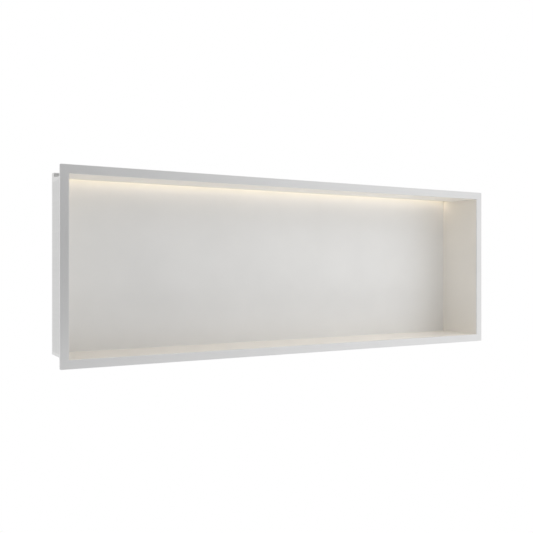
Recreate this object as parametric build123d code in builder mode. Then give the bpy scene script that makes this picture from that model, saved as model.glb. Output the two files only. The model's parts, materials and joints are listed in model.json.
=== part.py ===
"""Lit shower niche insert: a folded steel box with a flange, and a light bar in a pocket.

Units are millimetres. +X runs along the niche, +Y into the wall and +Z up.
The origin is the middle of the opening, on the wall plane behind the flange.
"""

import os

from build123d import *

# Niche box
opening_width = 900.0
opening_height = 300.0
recess_depth = 105.0  # front of the flange to the inside of the back
sheet = 2.0
end_sheet = 3.0  # plates welded on as the two ends
flange_width = 15.0
flange_corner_radius = 2.0
flange_fold_radius = 0.6  # where the walls turn out into the flange
fold_inner_radius = 0.5
fold_outer_radius = 1.5
weld_round = 0.5  # ground edge where the ends are welded to the folded sheet
edge_break = 0.3

# Light pocket above the rear of the ceiling
flare_depth = 23.0  # rear of the ceiling, which flares up to the slot
ceiling_rise = 2.5  # height of that flare
ceiling_bend_radius = 40.0  # outer radius of the slight bend where it starts
slot_depth = 10.0  # clear gap between the pocket's front wall and the back
pocket_rise = 7.5  # rear of the ceiling to the inside of the pocket's roof

# Light bar
bar_clearance = 0.3  # to the pocket's front wall and to the back
bar_end_gap = 1.0  # to each end of the niche
bar_height = 5.2
bar_base = 0.8
bar_wall = 0.8
mounting_tape_width = 7.0
mounting_tape_thickness = 0.8

# Opal cover, held by a bead along each side
cover_thickness = 1.0
cover_clearance = 0.1
groove_lift = 0.25  # bar's lower edge to the groove
groove_height = 0.5
groove_depth = 0.3

# End caps
cap_thickness = 1.0
spigot_length = 4.0
spigot_clearance = 0.15
lead_hole_radius = 0.9
cap_edge_break = 0.3

# Light strip, cut only at the ends of its segments
strip_width = 5.0
strip_thickness = 0.25
strip_end_gap = 1.0  # to each end cap's spigot
segment_length = 25.0
chips_per_segment = 3
chip_length = 2.2
chip_width = 1.6
chip_height = 0.7
resistor_length = 1.25
resistor_width = 2.0
resistor_height = 0.5

# Grommet in the right end of the pocket
grommet_hole_radius = 2.2
grommet_lip = 1.2  # how far its rims reach past the hole
grommet_outer_rim = 1.5
grommet_inner_rim = 0.5  # thin, to clear the light bar
grommet_clearance = 0.1
cable_radius = 1.4
rim_round = 0.6

# Box planes, worked out from the sizes above
box_width = opening_width + 2 * end_sheet
flange_length = opening_width + 2 * flange_width
flange_height = opening_height + 2 * flange_width
back_inside = recess_depth - sheet
back_outside = back_inside + sheet
half_opening = opening_height / 2
ceiling_rear = half_opening + ceiling_rise
slot_front = back_inside - slot_depth
slot_middle = back_inside - slot_depth / 2
flare_start = slot_front - flare_depth
flare_slope = ceiling_rise / flare_depth
pocket_front = slot_front - sheet
pocket_roof = ceiling_rear + pocket_rise
pocket_top = pocket_roof + sheet

# Light bar, hung under the roof of the pocket
bar_width = slot_depth - 2 * bar_clearance
bar_top = pocket_roof - mounting_tape_thickness
bar_bottom = bar_top - bar_height
channel_width = bar_width - 2 * bar_wall
channel_roof = bar_top - bar_base
profile_length = opening_width - 2 * bar_end_gap - 2 * cap_thickness
groove_bottom = bar_bottom + groove_lift
cover_top = bar_bottom + cover_thickness

# Light strip, as many whole segments as the channel takes
strip_room = profile_length - 2 * spigot_length - 2 * strip_end_gap
segment_count = int(strip_room // segment_length)
strip_length = segment_count * segment_length
strip_face = channel_roof - strip_thickness
chip_pitch = segment_length / chips_per_segment

# Grommet, centred in the end of the pocket
grommet_height = ceiling_rear + pocket_rise / 2
grommet_rim_radius = grommet_hole_radius + grommet_lip
grommet_neck_radius = grommet_hole_radius - grommet_clearance


def folded_section(front, back, riser, half_height, roof, radii):
    """Side section of the box: floor, back, pocket roof, pocket front and ceiling."""
    corners = [
        (front, -half_height),
        (back, -half_height),
        (back, roof),
        (riser, roof),
        (riser, half_height + (riser - flare_start) * flare_slope),
        (flare_start, half_height),
        (front, half_height),
    ]
    with BuildSketch(Plane.YZ) as section:
        with BuildLine():
            fold = FilletPolyline(*corners, radius=radii)
            Line(fold @ 1, fold @ 0)
        make_face()
    return section.sketch


def bar_section(width, bottom, top, along=0):
    """Rectangle across the light bar, between two heights, at a place along it."""
    with BuildSketch(Plane.YZ.offset(along)) as section:
        with Locations((slot_middle, (bottom + top) / 2)):
            Rectangle(width, top - bottom)
    return section.sketch


# Niche body: flange, folded box, cavity with its pocket, and the hole for the lead
outside = folded_section(
    0, back_outside, pocket_front, half_opening + sheet, pocket_top,
    [fold_outer_radius] * 3 + [fold_inner_radius, ceiling_bend_radius],
)
inside = folded_section(
    -sheet, back_inside, slot_front, half_opening, pocket_roof,
    [fold_inner_radius] * 3 + [fold_outer_radius, ceiling_bend_radius + sheet],
)
with BuildPart() as niche_body:
    extrude(outside, amount=box_width / 2, both=True)
    end_faces = niche_body.faces().filter_by(Axis.X)
    end_outline = end_faces.edges() - niche_body.faces().sort_by(Axis.Y)[0].edges()
    fillet(end_outline, weld_round)
    with BuildSketch(Plane.XZ):
        RectangleRounded(flange_length, flange_height, flange_corner_radius)
    extrude(amount=sheet)
    chamfer(niche_body.edges().group_by(Axis.Y)[0], edge_break)
    extrude(inside, amount=opening_width / 2, both=True, mode=Mode.SUBTRACT)
    front_face = niche_body.faces().sort_by(Axis.Y)[0]
    fillet(front_face.inner_wires()[0].edges(), flange_fold_radius)
    with BuildSketch(Plane.YZ.offset(opening_width / 2)):
        with Locations((slot_middle, grommet_height)):
            Circle(grommet_hole_radius)
    extrude(amount=end_sheet, mode=Mode.SUBTRACT)

# Aluminium channel, open downwards, with a groove inside each lip for the cover
with BuildPart() as led_profile:
    extrude(bar_section(bar_width, bar_bottom, bar_top), amount=profile_length / 2, both=True)
    extrude(
        bar_section(channel_width, bar_bottom, channel_roof),
        amount=profile_length / 2,
        both=True,
        mode=Mode.SUBTRACT,
    )
    extrude(
        bar_section(channel_width + 2 * groove_depth, groove_bottom, groove_bottom + groove_height),
        amount=profile_length / 2,
        both=True,
        mode=Mode.SUBTRACT,
    )

# Foam tape between the channel and the roof of the pocket
with BuildPart() as mounting_tape:
    extrude(bar_section(mounting_tape_width, bar_top, pocket_roof), amount=profile_length / 2, both=True)

# Opal cover with its two beads
cover_width = channel_width - 2 * cover_clearance
bead_bottom = groove_bottom + cover_clearance
bead_top = groove_bottom + groove_height - cover_clearance
with BuildPart() as diffuser:
    extrude(bar_section(cover_width, bar_bottom, cover_top), amount=profile_length / 2, both=True)
    extrude(
        bar_section(cover_width + 2 * groove_depth, bead_bottom, bead_top),
        amount=profile_length / 2,
        both=True,
    )

# Light strip under the roof of the channel
with BuildPart() as led_tape:
    extrude(bar_section(strip_width, strip_face, channel_roof), amount=strip_length / 2, both=True)

# Light-emitting packages, evenly spaced along the strip
with BuildPart() as led_chips:
    with BuildSketch(Plane.XY.offset(strip_face)):
        with Locations((0, slot_middle)):
            with GridLocations(chip_pitch, 0, segment_count * chips_per_segment, 1):
                Rectangle(chip_length, chip_width)
    extrude(amount=-chip_height)

# One resistor in each segment, midway between two packages
with BuildPart() as tape_resistors:
    with BuildSketch(Plane.XY.offset(strip_face)):
        with Locations((chip_pitch / 2, slot_middle)):
            with GridLocations(segment_length, 0, segment_count, 1):
                Rectangle(resistor_length, resistor_width)
    extrude(amount=-resistor_height)

# End caps: a plate over the end of the channel and a spigot inside it
cap_inner_face = profile_length / 2
spigot_width = channel_width - 2 * spigot_clearance
spigot_bottom = cover_top + spigot_clearance
spigot_top = channel_roof - spigot_clearance
with BuildPart() as left_end_cap:
    extrude(bar_section(bar_width, bar_bottom, bar_top, -cap_inner_face), amount=-cap_thickness)
    chamfer(left_end_cap.faces().sort_by(Axis.X)[0].edges(), cap_edge_break)
    extrude(
        bar_section(spigot_width, spigot_bottom, spigot_top, -cap_inner_face),
        amount=spigot_length,
    )

with BuildPart() as right_end_cap:
    mirror(left_end_cap.part, about=Plane.YZ)
    with BuildSketch(Plane.YZ.offset(cap_inner_face - spigot_length)):
        with Locations((slot_middle, (spigot_bottom + spigot_top) / 2)):
            Circle(lead_hole_radius)
    extrude(amount=spigot_length + cap_thickness, mode=Mode.SUBTRACT)

# Grommet: a neck through the end wall with a rim on each side
rim_inner_face = opening_width / 2 - grommet_inner_rim
grommet_length = grommet_inner_rim + end_sheet + grommet_outer_rim
with BuildPart() as cable_grommet:
    with BuildSketch(Plane.YZ.offset(rim_inner_face)):
        with Locations((slot_middle, grommet_height)):
            Circle(grommet_rim_radius)
    extrude(amount=grommet_inner_rim)
    with BuildSketch(Plane.YZ.offset(opening_width / 2)):
        with Locations((slot_middle, grommet_height)):
            Circle(grommet_neck_radius)
    extrude(amount=end_sheet)
    with BuildSketch(Plane.YZ.offset(box_width / 2)):
        with Locations((slot_middle, grommet_height)):
            Circle(grommet_rim_radius)
    extrude(amount=grommet_outer_rim)
    fillet(cable_grommet.faces().sort_by(Axis.X)[-1].edges(), rim_round)
    with BuildSketch(Plane.YZ.offset(rim_inner_face)):
        with Locations((slot_middle, grommet_height)):
            Circle(cable_radius)
    extrude(amount=grommet_length, mode=Mode.SUBTRACT)

pieces = {
    "niche_body": niche_body,
    "led_profile": led_profile,
    "mounting_tape": mounting_tape,
    "diffuser": diffuser,
    "led_tape": led_tape,
    "led_chips": led_chips,
    "tape_resistors": tape_resistors,
    "left_end_cap": left_end_cap,
    "right_end_cap": right_end_cap,
    "cable_grommet": cable_grommet,
}
os.makedirs("parts", exist_ok=True)
for name, piece in pieces.items():
    piece.part.label = name
    export_step(piece.part, f"parts/{name}.step")
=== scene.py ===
"""Looks of a lit shower niche insert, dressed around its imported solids."""

import json
import math

import bpy
from bpy.props import FloatProperty, FloatVectorProperty, PointerProperty
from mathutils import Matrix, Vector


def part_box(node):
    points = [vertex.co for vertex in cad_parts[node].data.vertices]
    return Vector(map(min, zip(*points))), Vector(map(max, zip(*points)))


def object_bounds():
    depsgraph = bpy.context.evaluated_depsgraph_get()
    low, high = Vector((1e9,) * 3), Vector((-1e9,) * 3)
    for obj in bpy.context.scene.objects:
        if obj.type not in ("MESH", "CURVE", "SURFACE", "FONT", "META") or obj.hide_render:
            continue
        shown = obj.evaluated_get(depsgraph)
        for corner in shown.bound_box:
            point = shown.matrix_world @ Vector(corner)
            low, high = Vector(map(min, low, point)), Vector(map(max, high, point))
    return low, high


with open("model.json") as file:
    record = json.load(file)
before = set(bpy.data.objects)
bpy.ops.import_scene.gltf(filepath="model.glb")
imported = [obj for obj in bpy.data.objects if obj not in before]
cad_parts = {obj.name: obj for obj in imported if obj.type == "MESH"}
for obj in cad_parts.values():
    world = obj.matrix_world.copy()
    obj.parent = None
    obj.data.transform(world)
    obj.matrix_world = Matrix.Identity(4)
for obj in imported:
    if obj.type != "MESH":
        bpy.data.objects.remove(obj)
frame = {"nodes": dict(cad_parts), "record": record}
CAD_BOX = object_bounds()

bl_info = {
    "name": "Lit Shower Niche",
    "version": (1, 0, 0),
    "blender": (4, 5, 0),
    "location": "View3D > Sidebar > Niche",
    "description": "Finishes of a lit shower niche insert, and a plain studio to show it in",
    "category": "Object",
}

# The picture's width, and how far the horizon is below its middle, in pixels
FRAME_PIXELS = 533
HORIZON_PIXELS = 0.27

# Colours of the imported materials, and places of the mounts and of some solids
COLOURS = {row["slot"]: row["base_color"] for row in frame["record"]["materials"]}
MOUNTS = {mount["name"]: mount["pos_m"] for mount in frame["record"]["mounts"]}
COVER_LOW, COVER_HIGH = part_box("diffuser")
POCKET_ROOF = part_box("mounting_tape")[1].z
FLANGE_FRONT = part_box("niche_body")[0].y
WALL_PLANE = MOUNTS["wall_cutout"][1]
FLANGE_MIDDLE = (FLANGE_FRONT + WALL_PLANE) / 2
SHEET = WALL_PLANE - FLANGE_FRONT

# Outside of the box, and the strip beside the welds of its ends, with the share of it that is ground evenly
BOX_END = 0.453
BOX_BACK = MOUNTS["box_back"][1]
BOX_TOP = 0.152
WELD_STRIP = 0.007
WELD_EVEN_SHARE = 0.6

# The ceiling is level behind the flange, then flares up to the slot under the light pocket
FLARE_START = 0.070
SLOT_FRONT = 0.093
FLARE_RISE = 0.0025
FLARE_SLOPE = FLARE_RISE / (SLOT_FRONT - FLARE_START)

# Planes within the metal, which part the faces inside the niche from those outside
END_SPLIT = MOUNTS["cable_entry"][0]
BACK_SPLIT = BOX_BACK - SHEET / 2
CEILING_SPLIT = BOX_TOP - SHEET / 2
POCKET_FRONT_SPLIT = SLOT_FRONT - SHEET / 2
ROOF_SPLIT = POCKET_ROOF + SHEET / 2

# A face looks along an axis when more than this of its normal is along it
FACING = 0.7

# Noise: its middle value, and the detail of fine noise
NOISE_MIDDLE = 0.5
FINE_DETAIL = 3.0

# Steel: how far clouds, streaks, ground strips and grain change its tone and roughness, and its relief
CLOUD_SCALE = 14.0
CLOUD_TONE = 0.06
STREAK_TONE = 0.22
GROUND_TONE = 0.07
GRAIN_ROUGHNESS = 0.10
STREAK_ROUGHNESS = 0.2
GROUND_POLISH = 0.06
GRAIN_BUMP = 0.12
GRAIN_DEPTH = 0.00004
LACQUER_ROUGHNESS = 0.27

# Aluminium: lines to the metre along each axis, how far they change its tone, and its roughness
EXTRUSION_LINES = (2, 2500, 2500)
EXTRUSION_TONE = 0.04
EXTRUSION_ROUGHNESS = 0.12
ALUMINIUM_ROUGHNESS = 0.32

# Opal plastic: the scale of its filler, how much it dims the glow, and its roughness
FILLER_SCALE = 900.0
FILLER_DIMMING = 0.06
FILLER_ROUGHNESS = 0.1
OPAL_ROUGHNESS = 0.45

# Moulded and printed pieces: how far speckle changes their roughness, and its relief
SPECKLE_ROUGHNESS = 0.2
SPECKLE_BUMP = 0.2
SPECKLE_DEPTH = 0.00003

# The light bar's beam starts this far under the cover
BEAM_GAP = 0.0002

# Floor: its colour, how far it reaches, how white it looks, and how far from the niche it turns all white
FLOOR_COLOUR = (0.84, 0.84, 0.84)
FLOOR_REACH = 9.0
FLOOR_WHITENESS = 0.5
FLOOR_FADES_FROM = 1.4
FLOOR_FADES_TO = 2.0

# Screen behind the camera: its edges, its place in front of the wall plane, and where it starts to turn pale
SCREEN_LEFT = -4.0
SCREEN_RIGHT = 3.0
SCREEN_BOTTOM = -0.57
SCREEN_TOP = 0.95
SCREEN_AWAY = -2.6
SCREEN_PALES_FROM = -1.5

# Studio lamps: their size, and for each its place, its lean away from facing down, and its swing round
LAMP_SIZE = (2.0, 1.0)
STUDIO_LAMPS = {
    "key": ((1.4, -0.4, 0.8), math.radians(25), 0.0),
    "fill": ((0.7, -0.5, -1.1), math.radians(157), 0.0),
    "front": ((0.5, -2.0, -0.75), math.radians(110), 0.0),
    "side": ((-3.6, -1.0, 1.4), math.radians(70), math.radians(-75)),
}

SENSOR_WIDTH = 36.0
WHITE = (1.0, 1.0, 1.0, 1.0)


class NicheSteel(bpy.types.PropertyGroup):
    """Finish of the folded steel box."""

    flange_colour: FloatVectorProperty(
        name="Flange colour",
        description="Colour of the brushed flange",
        subtype="COLOR",
        size=3,
        min=0.0,
        max=1.0,
        default=(0.765, 0.765, 0.765),
    )
    back_colour: FloatVectorProperty(
        name="Back colour",
        description="Colour of the blasted back of the niche",
        subtype="COLOR",
        size=3,
        min=0.0,
        max=1.0,
        default=(0.863, 0.861, 0.852),
    )
    # Painted glow: the returns are the same blasted sheet as the back, made warmer to stand in for the warm
    # light the bar throws onto the floor, ceiling and ends
    returns_colour_with_painted_glow: FloatVectorProperty(
        name="Returns colour",
        description="Colour of the floor, ceiling and ends of the niche, a little warmer than its back",
        subtype="COLOR",
        size=3,
        min=0.0,
        max=1.0,
        default=(0.884, 0.858, 0.812),
    )
    outside_colour: FloatVectorProperty(
        name="Outside colour",
        description="Colour of the mill-finished sheet that faces the wall",
        subtype="COLOR",
        size=3,
        min=0.0,
        max=1.0,
        default=(0.63, 0.63, 0.625),
    )
    flange_roughness: FloatProperty(
        name="Flange roughness",
        description="Roughness of the brushed flange",
        subtype="FACTOR",
        min=0.0,
        max=1.0,
        default=0.34,
    )
    inside_roughness: FloatProperty(
        name="Inside roughness",
        description="Roughness of the blasted sheet behind the flange",
        subtype="FACTOR",
        min=0.0,
        max=1.0,
        default=0.50,
    )
    inside_metal: FloatProperty(
        name="Inside metal",
        description="Share of metal in the look of the blasted sheet behind the flange",
        subtype="FACTOR",
        min=0.0,
        max=1.0,
        default=0.4,
    )
    inside_lacquer: FloatProperty(
        name="Inside lacquer",
        description="Share of the clear lacquer that keeps finger marks off the sheet behind the flange",
        subtype="FACTOR",
        min=0.0,
        max=1.0,
        default=0.4,
    )
    outside_roughness: FloatProperty(
        name="Outside roughness",
        description="Roughness of the mill-finished sheet that faces the wall",
        subtype="FACTOR",
        min=0.0,
        max=1.0,
        default=0.40,
    )
    grain_length: FloatProperty(
        name="Grain length",
        description="Length of a brush mark",
        subtype="DISTANCE",
        unit="LENGTH",
        min=0.001,
        default=0.045,
    )
    grain_width: FloatProperty(
        name="Grain width",
        description="Width of a brush mark",
        subtype="DISTANCE",
        unit="LENGTH",
        min=0.00001,
        default=0.00035,
    )
    streak_length: FloatProperty(
        name="Streak length",
        description="Length of a streak left on the outside by the rolling mill",
        subtype="DISTANCE",
        unit="LENGTH",
        min=0.001,
        default=0.5,
    )
    streak_width: FloatProperty(
        name="Streak width",
        description="Width of a streak left on the outside by the rolling mill",
        subtype="DISTANCE",
        unit="LENGTH",
        min=0.0001,
        default=0.006,
    )


class NicheLight(bpy.types.PropertyGroup):
    """The light bar in the pocket."""

    colour: FloatVectorProperty(
        name="Cover colour",
        description="Colour of the glow of the opal cover",
        subtype="COLOR",
        size=3,
        min=0.0,
        max=1.0,
        default=(1.0, 0.79, 0.42),
    )
    strength: FloatProperty(
        name="Cover strength",
        description="Strength of the glow of the opal cover",
        min=0.0,
        default=1.31,
    )
    beam_colour: FloatVectorProperty(
        name="Beam colour",
        description="Colour of the beam that the bar throws down into the niche",
        subtype="COLOR",
        size=3,
        min=0.0,
        max=1.0,
        default=(1.0, 0.835, 0.68),
    )
    beam_power: FloatProperty(
        name="Beam power",
        description="Power of the beam that the bar throws down into the niche",
        subtype="POWER",
        unit="POWER",
        min=0.0,
        default=0.1425,
    )
    beam_spread: FloatProperty(
        name="Beam spread",
        description="Angle of the beam across the bar",
        subtype="ANGLE",
        unit="ROTATION",
        min=0.0,
        max=math.pi,
        default=math.radians(90),
    )
    beam_tilt: FloatProperty(
        name="Beam tilt",
        description="How far the beam leans forward, away from the back of the niche",
        subtype="ANGLE",
        unit="ROTATION",
        default=math.radians(15),
    )


class NicheStage(bpy.types.PropertyGroup):
    """Camera, floor and studio light."""

    lens: FloatProperty(
        name="Lens",
        description="Focal length of the camera on a 36 mm sensor",
        subtype="DISTANCE_CAMERA",
        unit="CAMERA",
        min=1.0,
        default=48.46,
    )
    azimuth: FloatProperty(
        name="Camera turn",
        description="How far the camera is turned to the right of straight ahead",
        subtype="ANGLE",
        unit="ROTATION",
        default=math.radians(29.41),
    )
    camera_place: FloatVectorProperty(
        name="Camera place",
        description="Where the camera stands",
        subtype="XYZ",
        unit="LENGTH",
        size=3,
        default=(-0.7399, -1.162, 0.0),
    )
    horizon_shift: FloatProperty(
        name="Horizon shift",
        description="How far the horizon is below the middle of the picture, in picture widths",
        default=HORIZON_PIXELS / FRAME_PIXELS,
    )
    floor_drop: FloatProperty(
        name="Floor drop",
        description="How far the floor is below the niche",
        subtype="DISTANCE",
        unit="LENGTH",
        min=0.0,
        default=1.1,
    )
    screen_tone: FloatProperty(
        name="Screen tone",
        description="Paleness of the left edge of the screen behind the camera, which the flange reflects",
        subtype="FACTOR",
        min=0.0,
        max=1.0,
        default=0.25,
    )
    sky_strength: FloatProperty(
        name="Sky strength",
        description="Strength of the even light from all round",
        min=0.0,
        default=0.343,
    )
    key_power: FloatProperty(
        name="Key power",
        description="Power of the wide soft lamp above the niche at its right",
        subtype="POWER",
        unit="POWER",
        min=0.0,
        default=15.3,
    )
    fill_power: FloatProperty(
        name="Fill power",
        description="Power of the wide soft lamp below the niche at its right",
        subtype="POWER",
        unit="POWER",
        min=0.0,
        default=11.2,
    )
    side_power: FloatProperty(
        name="Side power",
        description="Power of the wide soft lamp far to the left, which lights the right end",
        subtype="POWER",
        unit="POWER",
        min=0.0,
        default=17.8,
    )
    front_power: FloatProperty(
        name="Front power",
        description="Power of the wide soft lamp low in front of the niche",
        subtype="POWER",
        unit="POWER",
        min=0.0,
        default=3.7,
    )


class Wire:
    """A shader socket that can be used in sums: each operation adds one Math node."""

    def __init__(self, finish, socket):
        self.finish = finish
        self.socket = socket

    def __getitem__(self, output):
        """Another output of the same node."""
        return Wire(self.finish, self.socket.node.outputs[output])

    def _math(self, operation, *values):
        return self.finish.node("Math", {"operation": operation}, dict(enumerate(values)))

    def __add__(self, other):
        return self._math("ADD", self, other)

    def __sub__(self, other):
        return self._math("SUBTRACT", self, other)

    def __mul__(self, other):
        return self._math("MULTIPLY", self, other)

    def __gt__(self, other):
        return self._math("GREATER_THAN", self, other)

    def __lt__(self, other):
        return self._math("LESS_THAN", self, other)

    def __abs__(self):
        return self._math("ABSOLUTE", self)

    def __rsub__(self, other):
        return self._math("SUBTRACT", other, self)

    __radd__ = __add__
    __rmul__ = __mul__


class Finish:
    """The node tree of a material or of the world."""

    def __init__(self, owner):
        owner.use_nodes = True
        self.owner = owner
        self.tree = owner.node_tree
        self.tree.nodes.clear()

    def node(self, kind, settings=None, sockets=None, output=0):
        """Adds a node: its settings first, then the values or links of its sockets."""
        made = self.tree.nodes.new("ShaderNode" + kind)
        for name, value in (settings or {}).items():
            setattr(made, name, value)
        for name, value in (sockets or {}).items():
            if isinstance(value, Wire):
                self.tree.links.new(value.socket, made.inputs[name])
            else:
                made.inputs[name].default_value = value
        return Wire(self, made.outputs[output]) if made.outputs else None

    def mix_colour(self, factor, first, second, blend="MIX"):
        """Blends two colours: plainly, it gives the first at a factor of 0 and the second at 1."""
        settings = {"data_type": "RGBA", "blend_type": blend}
        return self.node("Mix", settings, {0: factor, 6: first, 7: second}, output=2)

    def mix_vector(self, factor, first, second):
        """The first vector at a factor of 0, the second at 1."""
        return self.node("Mix", {"data_type": "VECTOR"}, {0: factor, 4: first, 5: second}, output=1)

    def stretched(self, place, scale):
        """A place scaled along each axis, for texture that runs one way."""
        return self.node("VectorMath", {"operation": "MULTIPLY"}, {0: place, 1: scale})

    def larger(self, first, second):
        """The larger of two values."""
        return self.node("Math", {"operation": "MAXIMUM"}, {0: first, 1: second})

    def fade(self, value, low, high):
        """0 at low, 1 at high, smooth between."""
        settings = {"interpolation_type": "SMOOTHSTEP"}
        return self.node("MapRange", settings, {0: value, 1: low, 2: high})

    def surface(self, **sockets):
        """Closes a material with one Principled shader."""
        named = {name.replace("_", " ").title(): value for name, value in sockets.items()}
        shader = self.node("BsdfPrincipled", sockets=named)
        self.node("OutputMaterial", sockets={"Surface": shader})
        return self.owner


def opaque(colour, gain=1.0):
    """A colour with full alpha, as sockets take it, darker or paler by the gain."""
    return (*(min(1.0, channel * gain) for channel in colour), 1.0)


def new_finish(name):
    """An empty material of that name."""
    return Finish(bpy.data.materials.new(name))


def in_niche(finish, at):
    """1 on the faces that close the niche and its light pocket, 0 on those that face the wall."""
    past_bend = finish.larger(at["Y"] - FLARE_START, 0.0)
    under_ceiling = (at["Z"] - past_bend * FLARE_SLOPE) < CEILING_SPLIT
    in_pocket = (at["Y"] > POCKET_FRONT_SPLIT) * (at["Z"] < ROOF_SPLIT)
    below = finish.larger(under_ceiling, in_pocket)
    between_ends = abs(at["X"]) < END_SPLIT
    above_floor = at["Z"] > -CEILING_SPLIT
    return below * between_ends * above_floor * (at["Y"] < BACK_SPLIT)


def beside_welds(finish, at, on_ends):
    """1 on the strip ground flush beside the welds of the two end plates, fading out to 0."""
    from_end = BOX_END - abs(at["X"])
    from_outline = 0 - finish.larger(at["Y"] - BOX_BACK, abs(at["Z"]) - BOX_TOP)
    distance = from_end + on_ends * (from_outline - from_end)
    return 1 - finish.fade(distance, WELD_STRIP * WELD_EVEN_SHARE, WELD_STRIP)


def drawn_out(finish, place, turned, length, width):
    """Noise drawn out along the sheet, or from front to back where it is turned."""
    along_sheet = finish.stretched(place, (1 / length, 1 / width, 1 / width))
    front_to_back = finish.stretched(place, (1 / width, 1 / length, 1 / width))
    marks_place = finish.mix_vector(turned, along_sheet, front_to_back)
    return finish.node("TexNoise", sockets={"Vector": marks_place, "Scale": 1.0, "Detail": FINE_DETAIL})


def steel_finish(look):
    """Brushed flange, blasted inside, and a mill finish outside with its welds ground flush; the niche's
    floor, ceiling and ends carry a painted warm glow.
    """
    finish = new_finish("satin_steel")
    place = finish.node("TexCoord", output="Object")
    at = finish.node("SeparateXYZ", sockets={0: place})
    facing = finish.node("SeparateXYZ", sockets={0: finish.node("NewGeometry", output="Normal")})
    on_ends = abs(facing["X"]) > FACING
    on_back = abs(facing["Y"]) > FACING
    on_flange = 1 - finish.fade(at["Y"], FLANGE_MIDDLE, WALL_PLANE)
    inside = in_niche(finish, at)
    blasted = inside * (1 - on_flange)
    milled = (1 - inside) * (1 - on_flange)
    ground = milled * beside_welds(finish, at, on_ends)

    grain_turned = on_ends + ground * (1 - on_ends * 2)
    grain = drawn_out(finish, place, grain_turned, look.grain_length, look.grain_width)
    streaks = drawn_out(finish, place, on_ends, look.streak_length, look.streak_width) - NOISE_MIDDLE
    cloud = finish.node("TexNoise", sockets={"Vector": place, "Scale": CLOUD_SCALE})

    tone = 1 + (cloud - NOISE_MIDDLE) * CLOUD_TONE
    tone = tone + milled * (streaks * STREAK_TONE + ground * GROUND_TONE)
    # Painted glow: faces across the niche take the warmer returns colour in place of the bar's warm light on
    # them, and the back keeps its own neutral colour
    box_colour_with_painted_glow = finish.mix_colour(on_back, opaque(look.returns_colour_with_painted_glow), opaque(look.back_colour))
    colour = finish.mix_colour(inside, opaque(look.outside_colour), box_colour_with_painted_glow)
    colour = finish.mix_colour(on_flange, colour, opaque(look.flange_colour))
    colour = finish.mix_colour(1.0, colour, tone, "MULTIPLY")
    roughness = look.outside_roughness + inside * (look.inside_roughness - look.outside_roughness)
    roughness = roughness + on_flange * (look.flange_roughness - roughness)
    roughness = roughness + (grain - NOISE_MIDDLE) * GRAIN_ROUGHNESS
    roughness = roughness + milled * (streaks * STREAK_ROUGHNESS - ground * GROUND_POLISH)
    relief = finish.node("Bump", sockets={"Strength": GRAIN_BUMP, "Distance": GRAIN_DEPTH, "Height": grain})
    return finish.surface(
        base_color=colour,
        metallic=1 - blasted * (1 - look.inside_metal),
        roughness=roughness,
        coat_weight=blasted * look.inside_lacquer,
        coat_roughness=LACQUER_ROUGHNESS,
        normal=relief,
    )


def aluminium_finish():
    """Satin anodised aluminium with faint lines from the extrusion die."""
    name = "anodised_aluminium"
    finish = new_finish(name)
    place = finish.node("TexCoord", output="Object")
    along_die = finish.stretched(place, EXTRUSION_LINES)
    lines = finish.node("TexNoise", sockets={"Vector": along_die, "Scale": 1.0})
    dark = opaque([channel - EXTRUSION_TONE for channel in COLOURS[name]])
    pale = opaque([channel + EXTRUSION_TONE for channel in COLOURS[name]])
    return finish.surface(
        base_color=finish.mix_colour(lines, dark, pale),
        metallic=1.0,
        roughness=ALUMINIUM_ROUGHNESS + lines * EXTRUSION_ROUGHNESS,
    )


def opal_finish(light):
    """Opal plastic lit from behind, with the faint speckle of its filler."""
    name = "opal_cover"
    finish = new_finish(name)
    place = finish.node("TexCoord", output="Object")
    filler = finish.node("TexNoise", sockets={"Vector": place, "Scale": FILLER_SCALE})
    dimmed = opaque(light.colour, 1 - FILLER_DIMMING)
    return finish.surface(
        base_color=opaque(COLOURS[name]),
        roughness=OPAL_ROUGHNESS + filler * FILLER_ROUGHNESS,
        emission_color=finish.mix_colour(filler, opaque(light.colour), dimmed),
        emission_strength=light.strength,
    )


def speckled_finish(name, roughness, scale, spread):
    """Moulded or printed surface: its colour varies by the spread, in speckle of the given scale."""
    finish = new_finish(name)
    place = finish.node("TexCoord", output="Object")
    speckle = finish.node("TexNoise", sockets={"Vector": place, "Scale": scale, "Detail": FINE_DETAIL})
    dark = opaque(COLOURS[name], 1 - spread)
    pale = opaque(COLOURS[name], 1 + spread)
    relief_sockets = {"Strength": SPECKLE_BUMP, "Distance": SPECKLE_DEPTH, "Height": speckle}
    return finish.surface(
        base_color=finish.mix_colour(speckle, dark, pale),
        roughness=roughness + (speckle - NOISE_MIDDLE) * SPECKLE_ROUGHNESS,
        normal=finish.node("Bump", sockets=relief_sockets),
    )


def dress(node, material):
    """Gives a CAD node its finish."""
    slots = frame["nodes"][node].data.materials
    slots.clear()
    slots.append(material)


class NICHE_OT_body(bpy.types.Operator):
    """Finish the folded steel box"""

    bl_idname = "niche.body"
    bl_label = "Steel Box"

    def execute(self, context):
        dress("niche_body", steel_finish(context.scene.niche_steel))
        return {"FINISHED"}


class NICHE_OT_light_channel(bpy.types.Operator):
    """Finish the aluminium channel, its tape and its end caps"""

    bl_idname = "niche.light_channel"
    bl_label = "Light Channel"

    def execute(self, context):
        dress("led_profile", aluminium_finish())
        dress("mounting_tape", speckled_finish("foam_tape", roughness=0.85, scale=1500.0, spread=0.1))
        cap = speckled_finish("cap_plastic", roughness=0.5, scale=2500.0, spread=0.05)
        dress("left_end_cap", cap)
        dress("right_end_cap", cap)
        return {"FINISHED"}


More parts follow.
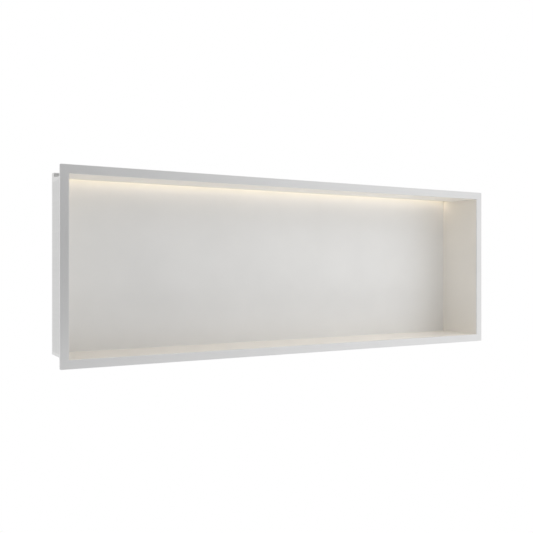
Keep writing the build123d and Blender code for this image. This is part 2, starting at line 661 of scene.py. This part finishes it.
class NICHE_OT_light_strip(bpy.types.Operator):
    """Finish the circuit strip and what is soldered on it"""

    bl_idname = "niche.light_strip"
    bl_label = "Light Strip"

    def execute(self, context):
        strip = speckled_finish("circuit_strip", roughness=0.45, scale=800.0, spread=0.04)
        chips = speckled_finish("light_chips", roughness=0.25, scale=3000.0, spread=0.08)
        resistors = speckled_finish("resistor_black", roughness=0.5, scale=3000.0, spread=0.2)
        dress("led_tape", strip)
        dress("led_chips", chips)
        dress("tape_resistors", resistors)
        return {"FINISHED"}


class NICHE_OT_cover(bpy.types.Operator):
    """Light the opal cover"""

    bl_idname = "niche.cover"
    bl_label = "Opal Cover"

    def execute(self, context):
        dress("diffuser", opal_finish(context.scene.niche_light))
        return {"FINISHED"}


class NICHE_OT_grommet(bpy.types.Operator):
    """Finish the rubber grommet"""

    bl_idname = "niche.grommet"
    bl_label = "Cable Grommet"

    def execute(self, context):
        rubber = speckled_finish("grommet_rubber", roughness=0.7, scale=2000.0, spread=0.2)
        dress("cable_grommet", rubber)
        return {"FINISHED"}


def shows_background(finish):
    """1 for the rays that show the background: from the camera, off metal or through glass."""
    path = finish.node("LightPath", output="Is Camera Ray")
    seen = path
    for kind in ("Is Glossy Ray", "Is Transmission Ray"):
        seen = finish.larger(seen, path[kind])
    return seen


def make_panel(name, corners, material):
    """A flat piece of the stage."""
    mesh = bpy.data.meshes.new(name)
    mesh.from_pydata(corners, [], [(0, 1, 2, 3)])
    mesh.materials.append(material)
    panel = bpy.data.objects.new(name, mesh)
    bpy.context.scene.collection.objects.link(panel)
    return panel


def make_floor(drop):
    """A wide pale floor that turns into the white background away from the niche."""
    finish = new_finish("pale_floor")
    place = finish.node("TexCoord", output="Object")
    away = finish.node("VectorMath", {"operation": "LENGTH"}, {0: place}, output="Value")
    cloth = finish.node("BsdfDiffuse", sockets={"Color": opaque(FLOOR_COLOUR)})
    white = finish.node("Emission", sockets={"Color": WHITE, "Strength": 1.0})
    turned_white = finish.fade(away, FLOOR_FADES_FROM, FLOOR_FADES_TO)
    whiteness = FLOOR_WHITENESS + turned_white * (1 - FLOOR_WHITENESS)
    whitened = whiteness * shows_background(finish)
    shader = finish.node("MixShader", sockets={0: whitened, 1: cloth, 2: white})
    finish.node("OutputMaterial", sockets={"Surface": shader})
    height = CAD_BOX[0].z - drop
    corners = [(-1, -1), (1, -1), (1, 1), (-1, 1)]
    make_panel("floor", [(x * FLOOR_REACH, y * FLOOR_REACH, height) for x, y in corners], finish.owner)


def make_screen(tone):
    """A screen behind the camera, grey at its left and white at its right, which the camera doesn't see."""
    finish = new_finish("grey_screen")
    across = finish.node("SeparateXYZ", sockets={0: finish.node("TexCoord", output="Object")})["X"]
    pale = finish.fade(across, SCREEN_PALES_FROM, SCREEN_RIGHT)
    paleness = finish.mix_colour(pale, opaque((tone, tone, tone)), WHITE)
    cloth = finish.node("Emission", sockets={"Color": paleness, "Strength": 1.0})
    finish.node("OutputMaterial", sockets={"Surface": cloth})
    corners = [
        (SCREEN_LEFT, SCREEN_AWAY, SCREEN_BOTTOM),
        (SCREEN_RIGHT, SCREEN_AWAY, SCREEN_BOTTOM),
        (SCREEN_RIGHT, SCREEN_AWAY, SCREEN_TOP),
        (SCREEN_LEFT, SCREEN_AWAY, SCREEN_TOP),
    ]
    screen = make_panel("screen", corners, finish.owner)
    screen.visible_camera = False


def make_world(strength):
    """White to the camera and in reflections, and a soft even light to everything else."""
    world = bpy.data.worlds.new("studio")
    bpy.context.scene.world = world
    finish = Finish(world)
    studio = finish.node("Background", sockets={"Color": WHITE, "Strength": strength})
    white = finish.node("Background", sockets={"Color": WHITE, "Strength": 1.0})
    shader = finish.node("MixShader", sockets={0: shows_background(finish), 1: studio, 2: white})
    finish.node("OutputWorld", sockets={"Surface": shader})


def make_lamp(name, power, size, place, lean, swing=0.0):
    """A rectangular lamp that the camera doesn't see: it faces down, then leans, then swings round."""
    data = bpy.data.lights.new(name, "AREA")
    data.shape = "RECTANGLE"
    data.size, data.size_y = size
    data.energy = power
    lamp = bpy.data.objects.new(name, data)
    lamp.location = place
    lamp.rotation_euler = (lean, 0.0, swing)
    lamp.visible_camera = False
    bpy.context.scene.collection.objects.link(lamp)
    return lamp


def make_beam(light):
    """The beam of the light bar, as long as its cover, from just under it."""
    size = (COVER_HIGH.x - COVER_LOW.x, COVER_HIGH.y - COVER_LOW.y)
    middle = (COVER_LOW + COVER_HIGH) / 2
    place = (middle.x, middle.y, COVER_LOW.z - BEAM_GAP)
    beam = make_lamp("beam", light.beam_power, size, place, -light.beam_tilt)
    beam.data.spread = light.beam_spread
    beam.data.color = light.beam_colour


def make_studio_lamps(stage):
    """Wide soft lamps round the niche, which its metal doesn't mirror."""
    for name, (place, lean, swing) in STUDIO_LAMPS.items():
        lamp = make_lamp(name, getattr(stage, f"{name}_power"), LAMP_SIZE, place, lean, swing)
        lamp.visible_glossy = False


def make_camera(stage):
    """A level camera, turned to the right by its azimuth."""
    data = bpy.data.cameras.new("camera")
    data.sensor_width = SENSOR_WIDTH
    data.lens = stage.lens
    data.shift_y = stage.horizon_shift
    camera = bpy.data.objects.new("camera", data)
    camera.location = stage.camera_place
    camera.rotation_euler = (math.radians(90), 0.0, -stage.azimuth)
    bpy.context.scene.collection.objects.link(camera)
    bpy.context.scene.camera = camera


class NICHE_OT_stage(bpy.types.Operator):
    """Set up the floor, the studio light and the camera"""

    bl_idname = "niche.stage"
    bl_label = "Stage"

    def execute(self, context):
        stage = context.scene.niche_stage
        make_floor(stage.floor_drop)
        make_screen(stage.screen_tone)
        make_beam(context.scene.niche_light)
        make_studio_lamps(stage)
        make_world(stage.sky_strength)
        make_camera(stage)
        context.scene.view_settings.view_transform = "Standard"
        return {"FINISHED"}


class NICHE_PT_panel(bpy.types.Panel):
    """Lists the niche's operators"""

    bl_idname = "NICHE_PT_panel"
    bl_label = "Lit Shower Niche"
    bl_space_type = "VIEW_3D"
    bl_region_type = "UI"
    bl_category = "Niche"

    def draw(self, context):
        for operator in OPERATORS:
            self.layout.operator(operator.bl_idname)


OPERATORS = (
    NICHE_OT_body,
    NICHE_OT_light_channel,
    NICHE_OT_light_strip,
    NICHE_OT_cover,
    NICHE_OT_grommet,
    NICHE_OT_stage,
)
CLASSES = (NicheSteel, NicheLight, NicheStage, *OPERATORS, NICHE_PT_panel)


def register():
    """Adds the classes, and their properties to the scene."""
    for cls in CLASSES:
        bpy.utils.register_class(cls)
    bpy.types.Scene.niche_steel = PointerProperty(type=NicheSteel)
    bpy.types.Scene.niche_light = PointerProperty(type=NicheLight)
    bpy.types.Scene.niche_stage = PointerProperty(type=NicheStage)


def unregister():
    """Takes away what register adds."""
    del bpy.types.Scene.niche_stage
    del bpy.types.Scene.niche_light
    del bpy.types.Scene.niche_steel
    for cls in reversed(CLASSES):
        bpy.utils.unregister_class(cls)


def main():
    """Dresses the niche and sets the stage."""
    register()
    bpy.ops.niche.body()
    bpy.ops.niche.light_channel()
    bpy.ops.niche.light_strip()
    bpy.ops.niche.cover()
    bpy.ops.niche.grommet()
    bpy.ops.niche.stage()


if __name__ == "__main__":
    main()
